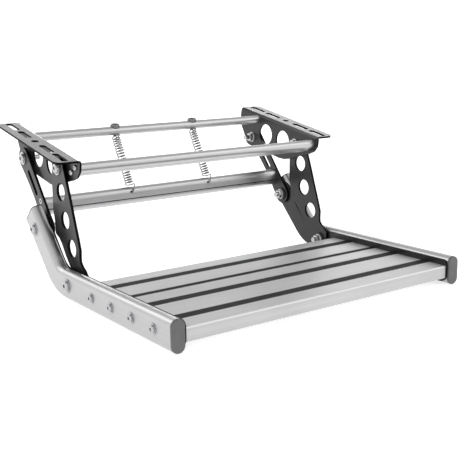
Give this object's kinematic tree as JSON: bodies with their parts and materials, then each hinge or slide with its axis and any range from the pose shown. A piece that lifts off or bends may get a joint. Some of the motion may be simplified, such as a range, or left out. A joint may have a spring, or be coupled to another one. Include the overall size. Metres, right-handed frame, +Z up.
{
  "type": "folding caravan entry step",
  "caption": "Folding entry step for a caravan or camper: an aluminium tread on bent side rails swings down on a four-bar linkage from two steel fixing brackets.",
  "frame": {"origin": "bottom centre of the opened step's bounding box, under the level tread", "axes": "+X to the right seen from the front, +Y to the rear, under the vehicle, +Z up, square to the tread"},
  "size_m": [0.4928, 0.4792, 0.2278],
  "materials": {
    "black_steel": "satin powder coat",
    "rail_aluminium": "satin anodised",
    "plank_aluminium": "satin anodised, ribbed",
    "bar_aluminium": "satin anodised",
    "rubber": "matte, ribbed",
    "grey_plastic": "fine grained",
    "black_plastic": "matte",
    "zinc_steel": "zinc plated",
    "dark_steel": "dark zinc",
    "spring_steel": "bright wound wire"
  },
  "bodies": {
    "brackets": {"bracket_left": "black_steel", "bracket_right": "black_steel", "rear_top_tube": "bar_aluminium", "front_top_bar": "bar_aluminium", "upper_pivot_bolts": "zinc_steel", "upper_pivot_washers": "zinc_steel", "upper_pivot_bushes": "black_plastic", "upper_pivot_nuts": "zinc_steel", "front_bar_screws": "zinc_steel", "rear_tube_screws": "zinc_steel", "spring_screws": "dark_steel", "tension_spring_left": "spring_steel", "tension_spring_right": "spring_steel"},
    "front_arms": {"front_arm_left": "black_steel", "front_arm_right": "black_steel"},
    "rear_arms": {"rear_arm_left": "black_steel", "rear_arm_right": "black_steel", "lower_cross_bar": "bar_aluminium", "cross_bar_screws": "zinc_steel", "rear_lower_nuts": "zinc_steel", "rear_lower_spacers": "black_plastic"},
    "tread": {"rail_left": "rail_aluminium", "rail_right": "rail_aluminium", "rail_front_caps": "grey_plastic", "rail_rear_plugs": "black_plastic", "side_plate_left": "black_steel", "side_plate_right": "black_steel", "front_plank": "plank_aluminium", "rear_plank": "plank_aluminium", "tread_strip_front": "rubber", "tread_strip_middle": "rubber", "tread_strip_rear": "rubber", "seam_strip": "rubber", "tread_screws": "zinc_steel", "front_lower_bolts": "zinc_steel", "front_lower_nuts": "zinc_steel", "front_lower_spacers": "black_plastic", "front_lower_bushes": "black_plastic", "rear_lower_bolts": "zinc_steel", "lower_pivot_washers": "zinc_steel"}
  },
  "joints": [
    {"name": "front_arm_fold", "type": "hinge", "parent": "brackets", "child": "front_arms", "pos_m": [0, 0.08842, 0.175], "axis": [1, 0, 0], "range_deg": [0, 58]},
    {"name": "tread_fold", "type": "hinge", "parent": "front_arms", "child": "tread", "pos_m": [0, 0.03092, 0.0215], "axis": [1, 0, 0], "range_deg": [-64.8, 0]},
    {"name": "rear_arm_fold", "type": "hinge", "parent": "brackets", "child": "rear_arms", "pos_m": [0, 0.20692, 0.177], "axis": [1, 0, 0], "range_deg": [0, 86.3], "deforming": ["tension_spring_left", "tension_spring_right"]}
  ],
  "couplings": [
    {"joint": "tread_fold", "follows": "front_arm_fold", "ratio": -1.117},
    {"joint": "rear_arm_fold", "follows": "front_arm_fold", "ratio": 1.4878}
  ]
}
